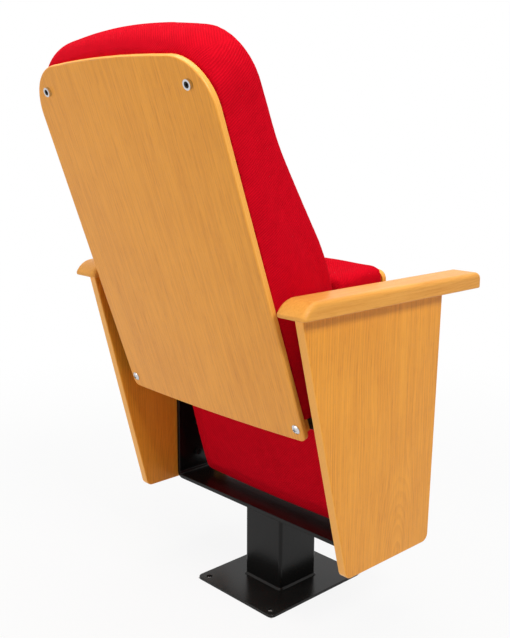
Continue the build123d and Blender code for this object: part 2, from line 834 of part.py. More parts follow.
# Spring housings: a cup with a central boss, screwed to the upright by two ears
floor_leg_point = at_hinge(spring_leg_r, spring_start_angle - spring_leg_turn)
for name, side in SIDES.items():
    with BuildPart() as hinge_housing:
        with BuildSketch(side_plane(housing_floor_x, side)):
            with Locations((side * hinge_y, hinge_z)):
                Circle(housing_bore_r + housing_wall)
            for ear_y, ear_z in ear_points:
                with BuildLine() as ear_line:
                    Line((side * hinge_y, hinge_z), (side * ear_y, ear_z))
                trace(ear_line.line, line_width=2 * housing_ear_r)
                with Locations((side * ear_y, ear_z)):
                    Circle(housing_ear_r)
        extrude(amount=housing_floor)
        with BuildSketch(side_plane(housing_rim, side)):
            with Locations((side * hinge_y, hinge_z)):
                Circle(housing_bore_r + housing_wall)
                Circle(housing_bore_r, mode=Mode.SUBTRACT)
                Circle(housing_boss_r)
        extrude(amount=housing_floor_x - housing_rim)
        with BuildSketch(side_plane(housing_rim, side)):
            with Locations((side * hinge_y, hinge_z)):
                Circle(pin_d / 2 + fixed_fit)
            with Locations([(side * y, z) for y, z in ear_points]):
                Circle(ear_screw_d / 2 + fixed_fit)
            with Locations((side * floor_leg_point[0], floor_leg_point[1])):
                Circle(spring_wire / 2 + spring_hole_play)
        extrude(amount=upright_inner - housing_rim, mode=Mode.SUBTRACT)
    save(hinge_housing, f"hinge_housing_{name}")

ear_screw = round_head_screw(
    ear_screw_d, housing_floor + strap_thick, ear_screw_head_d, ear_screw_head
)
for name, side in SIDES.items():
    with BuildPart() as housing_screws:
        with Locations(
            *[
                Plane(origin=(side * housing_floor_x, y, z), z_dir=(-side, 0, 0))
                for y, z in ear_points
            ]
        ):
            add(ear_screw)
    save(housing_screws, f"housing_screws_{name}")

# Stops: a stud through each upright at either end of the seat's travel, in a rubber sleeve
for name, side in SIDES.items():
    with BuildPart() as stop_studs:
        with BuildSketch(side_plane(inner_x, side)):
            with Locations([(side * y, z) for y, z in stop_points]):
                Circle(stop_d / 2)
        extrude(amount=board_inner - inner_x)
    save(stop_studs, f"stop_studs_{name}")
    with BuildPart() as stop_sleeves:
        with BuildSketch(side_plane(inner_x, side)):
            with Locations([(side * y, z) for y, z in stop_points]):
                Circle(stop_sleeve_d / 2)
                Circle(stop_d / 2 + fixed_fit, mode=Mode.SUBTRACT)
        extrude(amount=upright_inner - inner_x)
    save(stop_sleeves, f"stop_sleeves_{name}")

# Seat panel, inner board and their countersunk screws
seat_screw_points = [(a, x) for a in seat_screw_a for x in (-seat_screw_x, seat_screw_x)]
hinge_screw_a = (-hinge_screw_pitch, 0, hinge_screw_pitch)
hinge_screw_points = [(a, x) for a in hinge_screw_a for x in (-hinge_screw_x, hinge_screw_x)]
seat_axis = Axis(hinge_point, seat_up)
with BuildPart() as seat_panel:
    with BuildSketch(seat_level(seat_underside)):
        with Locations(((seat_panel_front - seat_panel_rear) / 2, 0)):
            RectangleRounded(
                seat_panel_front + seat_panel_rear, 2 * seat_panel_half, seat_panel_corner_r
            )
        with Locations(hinge_screw_points):
            Circle(flange_screw_d / 2 + fixed_fit, mode=Mode.SUBTRACT)
    extrude(amount=seat_panel_thick)
    fillet(seat_panel.faces().sort_by(seat_axis)[0].outer_wire().edges(), seat_panel_edge_r)
    with Locations(
        *[
            Plane(origin=seat_point(a, seat_underside, x), z_dir=-seat_up)
            for a, x in seat_screw_points
        ]
    ):
        CounterSinkHole(
            seat_screw_d / 2 + fixed_fit,
            seat_screw_head_d / 2 + fixed_fit,
            depth=seat_panel_thick,
        )
save(seat_panel, "seat_panel")

with BuildPart() as seat_board:
    with BuildSketch(seat_level(seat_panel_top)):
        with Locations(((seat_board_front - seat_board_rear) / 2, 0)):
            RectangleRounded(
                seat_board_front + seat_board_rear, 2 * seat_board_half, seat_board_corner_r
            )
    extrude(amount=seat_board_thick)
    with BuildSketch(seat_level(seat_panel_top)):
        with Locations(hinge_screw_points):
            Circle(flange_screw_d / 2 + fixed_fit)
        with Locations(seat_screw_points):
            Circle(seat_screw_d / 2 + fixed_fit)
    extrude(amount=screw_bite, mode=Mode.SUBTRACT)
save(seat_board, "seat_board")

seat_screw = flat_head_screw(seat_screw_d, seat_panel_thick + screw_bite, seat_screw_head_d)
with BuildPart() as seat_panel_screws:
    with Locations(
        *[
            Plane(origin=seat_point(a, seat_underside, x), z_dir=-seat_up)
            for a, x in seat_screw_points
        ]
    ):
        add(seat_screw)
save(seat_panel_screws, "seat_panel_screws")

# Seat cushion: its profile lofted across the width, kept inside its outline, rounded, and
# hollowed for the inner board
with BuildPart() as seat_cushion:
    for place, bulge in seat_crown:
        rear_end, middle, front_end = [(a, b + bulge) for a, b in seat_line]
        low = seat_panel_top + soft_gap
        with BuildSketch(seat_section(place * seat_half)):
            with BuildLine():
                ThreePointArc(rear_end, middle, front_end)
                Line(front_end, (front_end[0], low))
                Line((front_end[0], low), (rear_end[0], low))
                Line((rear_end[0], low), rear_end)
            make_face()
    loft()
    for b, front, rear, narrower in seat_outlines:
        with BuildSketch(seat_level(b)):
            add(seat_outline(front, rear, seat_half - narrower))
    loft(mode=Mode.INTERSECT)
    fillet(seat_cushion.faces().sort_by(seat_axis)[-1].outer_wire().edges(), seat_rim_r)
    fillet(seat_cushion.faces().sort_by(seat_axis)[0].outer_wire().edges(), seat_foot_r)
    with BuildSketch(seat_level(seat_panel_top)):
        with Locations(((seat_board_front - seat_board_rear) / 2, 0)):
            RectangleRounded(
                seat_board_front + seat_board_rear + 2 * soft_gap,
                2 * (seat_board_half + soft_gap),
                seat_board_corner_r + soft_gap,
            )
    extrude(amount=seat_board_thick + soft_gap, mode=Mode.SUBTRACT)
save(seat_cushion, "seat_cushion")

# Hinge plates: a flange under the seat, and beside it a hub whose lower part carries the
# two stop faces
plate_shoulder = hinge_plate_half * tan(radians(stop_edge_angle))
plate_leg_point = at_hinge(spring_leg_r, spring_start_angle + spring_leg_turn)
for name, side in SIDES.items():
    with BuildPart() as hinge_plate:
        with BuildSketch(seat_section(side * hinge_plate_inner)):
            with BuildLine():
                Polyline(
                    (0, 0),
                    (hinge_plate_half, -plate_shoulder),
                    (hinge_plate_half, flange_underside),
                    (-hinge_plate_half, flange_underside),
                    (-hinge_plate_half, -plate_shoulder),
                    close=True,
                )
            make_face()
            Circle(hinge_hub_r)
        extrude(amount=-side * hinge_plate_thick)
        with BuildSketch(seat_level(flange_underside)):
            with Locations((0, side * (hinge_plate_outer - hinge_flange / 2))):
                Rectangle(2 * hinge_plate_half, hinge_flange)
            with Locations([(a, side * hinge_screw_x) for a in hinge_screw_a]):
                Circle(flange_screw_d / 2 + fixed_fit, mode=Mode.SUBTRACT)
        extrude(amount=hinge_plate_thick)
        with BuildSketch(side_plane(hinge_plate_inner, side)):
            with Locations((side * hinge_y, hinge_z)):
                Circle(pin_d / 2 + running_fit + bush_wall + fixed_fit)
            with Locations((side * plate_leg_point[0], plate_leg_point[1])):
                Circle(spring_wire / 2 + spring_hole_play)
        extrude(amount=hinge_plate_thick, mode=Mode.SUBTRACT)
    save(hinge_plate, f"hinge_plate_{name}")

# Bushes pressed into the hinge plates: they turn on the pins
for name, side in SIDES.items():
    with BuildPart() as hinge_bush:
        with BuildSketch(side_plane(hinge_plate_inner, side)):
            with Locations((side * hinge_y, hinge_z)):
                Circle(pin_d / 2 + running_fit + bush_wall)
                Circle(pin_d / 2 + running_fit, mode=Mode.SUBTRACT)
        extrude(amount=hinge_plate_thick)
        with BuildSketch(side_plane(hinge_plate_outer, side)):
            with Locations((side * hinge_y, hinge_z)):
                Circle(bush_flange_r)
                Circle(pin_d / 2 + running_fit, mode=Mode.SUBTRACT)
        extrude(amount=bush_flange_thick)
    save(hinge_bush, f"hinge_bush_{name}")

# Screws through each hinge plate's flange and the seat panel into the inner board
flange_screw = round_head_screw(
    flange_screw_d,
    hinge_plate_thick + seat_panel_thick + screw_bite,
    flange_screw_head_d,
    flange_screw_head,
)
for name, side in SIDES.items():
    with BuildPart() as hinge_plate_screws:
        with Locations(
            *[
                Plane(origin=seat_point(a, flange_underside, side * hinge_screw_x), z_dir=-seat_up)
                for a in hinge_screw_a
            ]
        ):
            add(flange_screw)
    save(hinge_plate_screws, f"hinge_plate_screws_{name}")

# Return springs: a leg in the housing's floor, a coil round its boss and a leg in the hinge
# plate. The coil's quarter turns are each drawn as two arcs that meet at a tangent.
def coil_point(x, angle):
    """Point on the coil's middle line."""
    y, z = at_hinge(spring_r, angle)
    return Vector(x, y, z)


def coil_course(side, angle):
    """Direction of the coil, which winds towards the seat as its angle grows."""
    return Vector(
        -side * sin(coil_slope),
        -cos(coil_slope) * sin(radians(angle)),
        cos(coil_slope) * cos(radians(angle)),
    )


def biarc_joint(start, start_course, end, end_course):
    """Where two equal-handled arcs meet that join two points along their two courses."""
    chord = end - start
    courses = start_course + end_course
    spread = 2 * (1 - start_course.dot(end_course))
    reach = chord.dot(courses)
    handle = (sqrt(reach**2 + spread * chord.dot(chord)) - reach) / spread
    return (start + start_course * handle + end - end_course * handle) * 0.5


for name, side in SIDES.items():
    knots = []
    for quarter in range(4 * spring_turns + 1):
        angle = spring_start_angle + 90 * quarter
        x = side * (coil_start_x - spring_pitch * quarter / 4)
        knots.append((coil_point(x, angle), coil_course(side, angle)))
    bend = Vector(-side * bend_inwards, -bend_along, 0)
    bend_start = knots[0][0] - bend
    bend_end = knots[-1][0] + bend
    floor_end = Vector(side * (housing_floor_x + spring_leg_in_floor), bend_start.Y, bend_start.Z)
    plate_end = Vector(side * (hinge_plate_outer - spring_leg_in_plate), bend_end.Y, bend_end.Z)
    with BuildPart() as return_spring:
        with BuildLine():
            floor_leg = Line(floor_end, bend_start)
            TangentArc(bend_start, knots[0][0], tangent=(-side, 0, 0))
            for (start, start_course), (end, end_course) in zip(knots, knots[1:]):
                joint = biarc_joint(start, start_course, end, end_course)
                first_arc = TangentArc(start, joint, tangent=start_course)
                TangentArc(joint, end, tangent=first_arc % 1)
            TangentArc(knots[-1][0], bend_end, tangent=knots[-1][1])
            Line(bend_end, plate_end)
        with BuildSketch(Plane(origin=floor_leg @ 0, z_dir=floor_leg % 0)):
            Circle(spring_wire / 2)
        sweep()
    save(return_spring, f"return_spring_{name}")
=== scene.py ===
"""Finishes, cushions and studio for a tip-up auditorium seat, laid out as an add-on.

Everything is in metres. The seat stands on z = 0 and the sitter faces -Y. It is photographed
folded up, from behind and to one side.
"""

from math import cos, radians, sin, tau

import bmesh
import bpy
import numpy as np
from bpy.props import FloatProperty, FloatVectorProperty, IntProperty, PointerProperty
from bpy.types import Operator, Panel, PropertyGroup
from mathutils import Matrix, Quaternion, Vector
from mathutils.bvhtree import BVHTree


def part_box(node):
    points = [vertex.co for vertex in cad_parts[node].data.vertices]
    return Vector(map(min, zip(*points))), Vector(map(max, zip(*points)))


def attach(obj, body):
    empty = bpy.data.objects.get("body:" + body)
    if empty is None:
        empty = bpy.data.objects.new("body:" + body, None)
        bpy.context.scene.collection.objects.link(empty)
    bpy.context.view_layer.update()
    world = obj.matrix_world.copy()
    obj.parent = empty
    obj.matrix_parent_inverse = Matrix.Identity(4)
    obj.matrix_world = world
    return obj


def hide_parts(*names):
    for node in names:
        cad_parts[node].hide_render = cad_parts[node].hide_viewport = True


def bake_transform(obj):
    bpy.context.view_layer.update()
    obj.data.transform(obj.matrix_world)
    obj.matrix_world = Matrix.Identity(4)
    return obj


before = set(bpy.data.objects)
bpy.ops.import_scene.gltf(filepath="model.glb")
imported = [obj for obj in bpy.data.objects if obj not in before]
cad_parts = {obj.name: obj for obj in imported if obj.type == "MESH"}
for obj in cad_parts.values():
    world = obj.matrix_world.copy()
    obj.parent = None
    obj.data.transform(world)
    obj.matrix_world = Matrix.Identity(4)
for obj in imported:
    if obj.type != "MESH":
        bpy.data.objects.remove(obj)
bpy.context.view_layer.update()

bl_info = {
    "name": "Tip-up auditorium seat",
    "version": (1, 0, 0),
    "blender": (4, 5, 0),
    "location": "View3D > Sidebar > Seat",
    "description": "Upholstery, veneer, steel and studio for a tip-up auditorium seat",
    "category": "Object",
}

SIDES = ("left", "right")
WHITE = (1.0, 1.0, 1.0, 1.0)

# The back leans from the bottom edge of its rear face, and the folded seat from its hinge,
# which stands so far above the underside of the lowered seat.
BACK_TILT = radians(19.4)
BACK_FOOT = Vector((0, 0.177, 0.389))
SEAT_LEAN = radians(7)
HINGE = Vector((0, -0.030, 0.340))
HINGE_RISE = 0.035

# Thicknesses: the two wooden shells, and the boards that the foam lies on.
BACK_PANEL = 0.011
SEAT_PANEL = 0.012
INNER_BOARD = 0.012

# The share of the gap to a neighbour that a cover may take, and the air that it leaves there.
CUSHION_SHARE = 0.48
METAL_SHARE = 0.9
CLEARANCE = 0.0006

# A cover is held to its board where it faces it more squarely than this cosine.
LYING = 0.7

# Degrees by which the twill's ribs climb to the right, and the normal's share along an axis
# over which the ribs laid from that direction take over.
SIDE_CLIMB = 24
FACE_CLIMB = 45
TAKES_OVER = (0.66, 0.76)

# The floor's glow grows from its share near the seat to full white, and fades out over the
# base plate's rim.
FLOOR_RADIUS = 14
FLOOR_DROP = 0.0004
GLOW_SHARE = 0.90
GLOW_NEAR = 0.5
GLOW_FAR = 2.0
GLOW_RIM = 0.003

LAMP_COLOUR = (1.0, 0.99, 0.97)
AMBIENT_COLOUR = (1.0, 0.99, 0.975, 1.0)

# The photograph's view: where the camera stands, the way it looks, and its slight tilt.
CAMERA_PLACE = Vector((-1.1834, 1.1833, 0.8848))
CAMERA_AIM = Vector((0.7130, -0.6704, -0.2053))
CAMERA_ROLL = radians(0.25)
CAMERA_LENS = 50.4
CAMERA_SENSOR = 36


def on_both_sides(*stems):
    """The names of nodes that come as a left and a right one."""
    return [stem + side for side in SIDES for stem in stems]


def leaning(tilt, forwards):
    """A move forwards, square to a board that leans back by an angle."""
    return Matrix.Rotation(-tilt, 3, "X") @ Vector((0, -forwards, 0))


def length(name, description, default):
    return FloatProperty(
        name=name, description=description, default=default, min=0, precision=4,
        subtype="DISTANCE", unit="LENGTH",
    )


def colour(name, description, default):
    return FloatVectorProperty(
        name=name, description=description, default=default, min=0, max=1, size=3,
        subtype="COLOR",
    )


class FabricSettings(PropertyGroup):
    # The rib colour is a lit copy of the red and the groove colour a shaded copy. Mixed by the
    # ribs' height, they paint light on the crowns and shade in the grooves.
    lit_ridge: colour("Rib colour", "Crown of the twill's ribs", (0.80, 0.003, 0.018))
    shaded_groove: colour("Groove colour", "Shaded yarn between the ribs", (0.42, 0.001, 0.007))
    rib: length("Rib pitch", "From one diagonal rib to the next", 0.0036)
    relief: length("Rib height", "How far a rib stands over its groove", 0.00036)
    voxel: length("Mesh size", "Edge length of the cushions' remesh", 0.006)
    tuck: length("Tuck", "How far a cover starts inside its finished size", 0.0035)
    cover: length("Cover", "Thickness of the cover and its lining over the foam", 0.0015)
    swell: length("Swell", "The most that the foam may push its cover out", 0.005)
    sink: length("Sink", "The most that the cover may draw in", 0.001)
    pressure: FloatProperty(
        name="Pressure", description="Push of the foam on its cover", default=4, min=0
    )
    frames: IntProperty(
        name="Frames", description="Length of the foam's settling", default=20, min=1
    )


class WoodSettings(PropertyGroup):
    veneer_light: colour("Veneer, pale", "Early wood of the boards", (0.95, 0.40, 0.036))
    veneer_dark: colour("Veneer, deep", "Late wood of the boards", (0.66, 0.222, 0.012))
    arm_light: colour("Arm rest, pale", "Early wood of the arm rests", (0.85, 0.40, 0.079))
    arm_dark: colour("Arm rest, deep", "Late wood of the arm rests", (0.68, 0.26, 0.031))
    edge: colour("Edge", "Sanded edge of the boards", (0.99, 0.47, 0.085))
    core: colour("Core", "Darker plies and glue lines", (0.80, 0.31, 0.035))
    ring: length("Ring spacing", "From one growth ring to the next", 0.0056)
    ply: length("Ply", "Thickness of one ply", 0.0016)


class MetalSettings(PropertyGroup):
    coat: colour("Coating", "Black coating of the frame", (0.004, 0.0036, 0.0032))
    # This colour serves both dust and painted light. The coating's up-facing faces and edges are
    # paled towards it, partly for dust and wear, and partly as painted top light and painted
    # highlight.
    dust_and_painted_light: colour("Dust and painted light", "Dust on the coating", (0.16, 0.15, 0.14))
    chrome: colour("Chrome", "Cups and visible screws", (0.60, 0.60, 0.61))
    zinc: colour("Zinc", "Bolts, pins and studs", (0.52, 0.54, 0.57))
    spring: colour("Spring steel", "Return springs", (0.20, 0.19, 0.18))


class StageSettings(PropertyGroup):
    floor: colour("Floor", "Paint of the studio floor", (0.72, 0.72, 0.72))
    key: FloatProperty(
        name="Key light", description="Strongest lamp, high behind the camera", default=71,
        min=0, subtype="POWER", unit="POWER",
    )
    fill: FloatProperty(
        name="Fill light", description="Low lamp behind the seat", default=24,
        min=0, subtype="POWER", unit="POWER",
    )
    top: FloatProperty(
        name="Top light", description="Lamp overhead", default=54,
        min=0, subtype="POWER", unit="POWER",
    )
    ambient: FloatProperty(
        name="Ambient light", description="Light from all round", default=0.19, min=0
    )


# ------------------------------------------------------------------ node helpers

def emptied(owner):
    """The node tree of a material or world, with nothing in it yet."""
    owner.use_nodes = True
    owner.node_tree.nodes.clear()
    return owner.node_tree


def supply(tree, node, feeds):
    """Gives a node's inputs values, or other nodes' outputs."""
    for key, value in dict(feeds).items():
        if isinstance(value, bpy.types.NodeSocket):
            tree.links.new(value, node.inputs[key])
        else:
            node.inputs[key].default_value = value


def put(tree, kind, feeds=(), out=0, **settings):
    """Adds a node with its settings and inputs, and returns one of its outputs, if any."""
    node = tree.nodes.new("ShaderNode" + kind)
    for key, value in settings.items():
        setattr(node, key, value)
    supply(tree, node, feeds)
    return node.outputs[out] if node.outputs else None


def sums(tree, operation, *values):
    return put(tree, "Math", enumerate(values), operation=operation)


def hypotenuse(tree, a, b):
    squares = sums(
        tree, "ADD", sums(tree, "MULTIPLY", a, a), sums(tree, "MULTIPLY", b, b)
    )
    return sums(tree, "SQRT", squares)


def wave(tree, turns):
    """A sine wave from 0 to 1 that repeats at each whole turn."""
    return sums(
        tree, "MULTIPLY_ADD",
        sums(tree, "SINE", sums(tree, "MULTIPLY", turns, tau)), 0.5, 0.5,
    )


def vectors(tree, operation, *values):
    return put(tree, "VectorMath", enumerate(values), operation=operation)


def parts(tree, vector):
    split = put(tree, "SeparateXYZ", {0: vector}).node
    return split.outputs[0], split.outputs[1], split.outputs[2]


def step(tree, value, low, high, to_low=0.0, to_high=1.0):
    """An eased step: to_low below low, and to_high above high."""
    feeds = {0: value, 1: low, 2: high, 3: to_low, 4: to_high}
    return put(tree, "MapRange", feeds, interpolation_type="SMOOTHSTEP")


def blend(tree, factor, a, b):
    return put(tree, "Mix", {0: factor, 2: a, 3: b}, data_type="FLOAT")


def tint(tree, factor, a, b):
    return put(tree, "Mix", {0: factor, 6: a, 7: b}, out=2, data_type="RGBA")


def noise(tree, vector, scale, detail=2.0, rough=0.5):
    """Noise whose scale is one number, or one for each axis."""
    if not isinstance(scale, (int, float)):
        vector = vectors(tree, "MULTIPLY", vector, scale)
        scale = 1.0
    feeds = {"Vector": vector, "Scale": float(scale), "Detail": detail, "Roughness": rough}
    return put(tree, "TexNoise", feeds)


def new_group(name, inputs, outputs):
    """An empty shader node group: the group, its input sockets and its output sockets."""
    group = bpy.data.node_groups.new(name, "ShaderNodeTree")
    for label, kind, value in inputs:
        socket = group.interface.new_socket(label, in_out="INPUT", socket_type=kind)
        if value is not None:
            socket.default_value = value
    for label, kind in outputs:
        group.interface.new_socket(label, in_out="OUTPUT", socket_type=kind)
    inside = group.nodes.new("NodeGroupInput").outputs
    outside = group.nodes.new("NodeGroupOutput").inputs
    return group, inside, outside


def use(tree, group, feeds):
    """Places a group in a tree and returns its outputs by name."""
    node = tree.nodes.new("ShaderNodeGroup")
    node.node_tree = group
    supply(tree, node, feeds)
    return node.outputs


NUMBER, VECTOR, COLOUR = "NodeSocketFloat", "NodeSocketVector", "NodeSocketColor"


# ------------------------------------------------------------------ shared effects

def wood_group():
    """Growth rings round a heart that nears the face below its height, with streaks and pores.

    X runs across the board, Y through it and Z along the grain.
    """
    group, given, out = new_group(
        "Wood figure",
        [
            ("Vector", VECTOR, None),
            ("Light", COLOUR, None),
            ("Dark", COLOUR, None),
            ("Heart", VECTOR, None),
            ("Slant", NUMBER, 0.2),
            ("Ring", NUMBER, 0.0056),
            ("Figure", NUMBER, 0.2),
            ("Contrast", NUMBER, 1.5),
        ],
        [("Color", COLOUR), ("Roughness", NUMBER), ("Height", NUMBER)],
    )
    place = given["Vector"]
    across, depth, along = parts(group, vectors(group, "SUBTRACT", place, given["Heart"]))
    sway = sums(group, "SUBTRACT", noise(group, place, (11, 11, 3.2)), 0.5)
    elsewhere = vectors(group, "ADD", place, (3, 5, 7))
    lean = sums(group, "SUBTRACT", noise(group, elsewhere, (9, 9, 2.6)), 0.5)
    across = sums(group, "MULTIPLY_ADD", sway, 0.030, across)
    below = sums(group, "SMOOTH_MAX", sums(group, "MULTIPLY", along, -1.0), 0.0, 0.05)
    depth = sums(group, "MULTIPLY_ADD", below, given["Slant"], depth)
    depth = sums(group, "MULTIPLY_ADD", lean, 0.022, depth)
    radius = hypotenuse(group, across, depth)
    years = noise(group, put(group, "CombineXYZ", {0: radius}), 110)
    turn = sums(group, "DIVIDE", sums(group, "MULTIPLY_ADD", years, 0.012, radius), given["Ring"])
    turn = sums(group, "FRACT", turn)
    late = sums(
        group, "MULTIPLY", step(group, turn, 0.15, 0.85), step(group, turn, 0.88, 1.0, 1.0, 0.0)
    )
    streaks = step(group, noise(group, place, (260, 260, 7.0), 4, 0.65), 0.34, 0.68)
    flecks = step(group, noise(group, place, (430, 430, 36)), 0.54, 0.70)
    fibres = noise(group, place, (900, 900, 22), 3, 0.6)
    mottle = noise(group, place, (26, 26, 9))
    pores = step(group, noise(group, place, (1300, 1300, 120), 1), 0.63, 0.70)
    fade = step(group, noise(group, place, (20, 20, 5), 1), 0.3, 0.7, 0.35, 1.0)
    late = sums(group, "MULTIPLY", late, fade)
    deep = sums(group, "MULTIPLY", late, given["Figure"])
    for mark, depth_of_tone in (
        (streaks, 0.22), (flecks, 0.16), (fibres, 0.34), (mottle, 0.26), (pores, 0.16)
    ):
        deep = sums(group, "MULTIPLY_ADD", mark, depth_of_tone, deep)
    middle_tone = sums(group, "SUBTRACT", deep, 0.47)
    deep = sums(group, "MULTIPLY_ADD", middle_tone, given["Contrast"], 0.30)
    deep = put(group, "Clamp", {0: deep})
    group.links.new(tint(group, deep, given["Light"], given["Dark"]), out["Color"])
    group.links.new(sums(group, "MULTIPLY_ADD", fibres, 0.14, 0.30), out["Roughness"])
    height = sums(group, "SUBTRACT", fibres, sums(group, "MULTIPLY", pores, 0.8))
    group.links.new(sums(group, "MULTIPLY_ADD", late, 0.25, height), out["Height"])
    return group


def ply_group():
    """A board's edge: plies that show where the surface lies between its two faces."""
    group, given, out = new_group(
        "Plied edge",
        [
            ("Color", COLOUR, None),
            ("Height", NUMBER, 0.0),
            ("Depth", NUMBER, 0.0),
            ("Thickness", NUMBER, 0.018),
            ("Ply", NUMBER, 0.0016),
            ("Vector", VECTOR, None),
            ("Edge", COLOUR, None),
            ("Core", COLOUR, None),
        ],
        [("Color", COLOUR), ("Height", NUMBER)],
    )
    under = sums(
        group, "SUBTRACT", sums(group, "MULTIPLY", given["Thickness"], 0.5),
        sums(group, "ABSOLUTE", given["Depth"]),
    )
    core = step(group, under, 0.0004, 0.0009)
    waver = noise(group, given["Vector"], 45)
    wavy = sums(group, "MULTIPLY_ADD", waver, 0.0004, given["Depth"])
    layer = sums(group, "DIVIDE", wavy, given["Ply"])
    glue = step(group, sums(group, "PINGPONG", layer, 1.0), 0.35, 0.75)
    grains = noise(group, given["Vector"], 420, 3, 0.65)
    dark = sums(group, "MULTIPLY_ADD", grains, 0.55, sums(group, "MULTIPLY_ADD", glue, 0.28, -0.2))
    sanded = tint(group, put(group, "Clamp", {0: dark}), given["Edge"], given["Core"])
    group.links.new(tint(group, core, given["Color"], sanded), out["Color"])
    relief = sums(group, "MULTIPLY_ADD", glue, 0.5, grains)
    group.links.new(blend(group, core, given["Height"], relief), out["Height"])
    return group


def rib_group():
    """Diagonal ribs of a twill on one plane, from a phase across them and one along them."""
    group, given, out = new_group(
        "Twill ribs",
        [("Across", NUMBER, 0.0), ("Along", NUMBER, 0.0), ("Pitch", NUMBER, 0.0036)],
        [("Height", NUMBER)],
    )
    where = put(group, "CombineXYZ", {0: given["Across"], 1: given["Along"]})
    stray = sums(group, "SUBTRACT", noise(group, where, 70), 0.5)
    across = sums(group, "DIVIDE", given["Across"], given["Pitch"])
    across = sums(group, "MULTIPLY_ADD", stray, 0.55, across)
    rib = wave(group, across)
    along = sums(group, "DIVIDE", given["Along"], sums(group, "MULTIPLY", given["Pitch"], 0.46))
    along = sums(group, "MULTIPLY_ADD", sums(group, "FLOOR", across), 0.5, along)
    body = sums(group, "MULTIPLY_ADD", wave(group, along), 0.35, 0.65)
    group.links.new(sums(group, "MULTIPLY", rib, body), out["Height"])
    return group


def twill_group(ribs):
    """Twill on a cushion, laid from each side. X runs across the cushion and Z up it."""
    group, given, out = new_group(
        "Twill",
        [
            ("Vector", VECTOR, None),
            ("Normal", VECTOR, None),
            ("Pitch", NUMBER, 0.0036),
            ("Ridge", COLOUR, None),
            ("Groove", COLOUR, None),
        ],
        [("Color", COLOUR), ("Roughness", NUMBER), ("Height", NUMBER)],
    )
    x, y, z = parts(group, given["Vector"])
    nx, ny, nz = parts(group, given["Normal"])

    def laid(up, right, climb):
        """Ribs that climb at an angle to the right, where right is as seen from outside."""
        rise, run = sin(radians(climb)), cos(radians(climb))
        across = sums(group, "MULTIPLY_ADD", right, -rise, sums(group, "MULTIPLY", up, run))
        along = sums(group, "MULTIPLY_ADD", right, run, sums(group, "MULTIPLY", up, rise))
        return use(group, ribs, {"Across": across, "Along": along, "Pitch": given["Pitch"]})[0]

    leftwards = sums(group, "MULTIPLY", x, -1.0)
    side = laid(z, sums(group, "MULTIPLY", sums(group, "SIGN", nx), y), SIDE_CLIMB)
    face = laid(z, sums(group, "MULTIPLY", sums(group, "SIGN", ny), leftwards), FACE_CLIMB)
    end = laid(y, leftwards, FACE_CLIMB)
    level = step(group, sums(group, "ABSOLUTE", nz), *TAKES_OVER)
    height = blend(group, level, face, end)
    sideways = step(group, sums(group, "ABSOLUTE", nx), *TAKES_OVER)
    height = blend(group, sideways, height, side)
    fuzz = noise(group, given["Vector"], 900, 2, 0.7)
    slub = noise(group, given["Vector"], 55, 3, 0.6)
    wear = noise(group, given["Vector"], 7)
    # Painted light and shade: the ribs' height mixes the shaded groove copy with the lit rib copy.
    # Slub, wear and fuzz vary the tone at random.
    lift = sums(group, "MULTIPLY_ADD", slub, 0.5, sums(group, "MULTIPLY", height, 0.42))
    lift = sums(group, "MULTIPLY_ADD", wear, 0.3, lift)
    lift = sums(group, "MULTIPLY_ADD", fuzz, 0.3, sums(group, "SUBTRACT", lift, 0.26))
    lift = put(group, "Clamp", {0: lift})
    group.links.new(tint(group, lift, given["Groove"], given["Ridge"]), out["Color"])
    group.links.new(sums(group, "MULTIPLY_ADD", fuzz, 0.12, 0.80), out["Roughness"])
    group.links.new(sums(group, "MULTIPLY_ADD", fuzz, 0.35, height), out["Height"])
    return group


def coat_group():
    """Fine orange peel of a stoved coating, with dust and painted top light on the up-facing
    faces, and edges paled by wear and a painted highlight.
    """
    group, given, out = new_group(
        "Stoved coating",
        [
            ("Vector", VECTOR, None),
            ("Normal", VECTOR, None),
            ("Coat", COLOUR, None),
            ("Dust and painted light", COLOUR, None),
            ("Pale edge radius", NUMBER, 0.0025),
        ],
        [("Color", COLOUR), ("Roughness", NUMBER), ("Height", NUMBER)],
    )
    peel = noise(group, given["Vector"], 620, 2, 0.6)
    cloud = noise(group, given["Vector"], 16, 3, 0.6)
    # Painted top light: up-facing faces are paled towards the dust colour, partly for dust and
    # partly for light from overhead.
    up = step(group, parts(group, given["Normal"])[2], 0.2, 0.9)
    settled = sums(group, "MULTIPLY", up, step(group, cloud, 0.3, 0.8, 0.05, 0.10))
    # Painted highlight: edges are paled towards the dust colour, partly for wear and partly for
    # the light that they catch.
    rounded = put(group, "Bevel", {"Radius": given["Pale edge radius"]}, samples=6)
    true = group.nodes.new("ShaderNodeNewGeometry").outputs["Normal"]
    agree = vectors(group, "DOT_PRODUCT", rounded, true).node.outputs["Value"]
    worn_and_highlit_edges = step(group, agree, 0.80, 0.99, 0.16, 0.0)
    dust_and_top_light = tint(group, settled, given["Coat"], given["Dust and painted light"])
    group.links.new(tint(group, worn_and_highlit_edges, dust_and_top_light, given["Dust and painted light"]), out["Color"])
    group.links.new(sums(group, "MULTIPLY_ADD", cloud, 0.10, 0.20), out["Roughness"])
    group.links.new(peel, out["Height"])
    return group


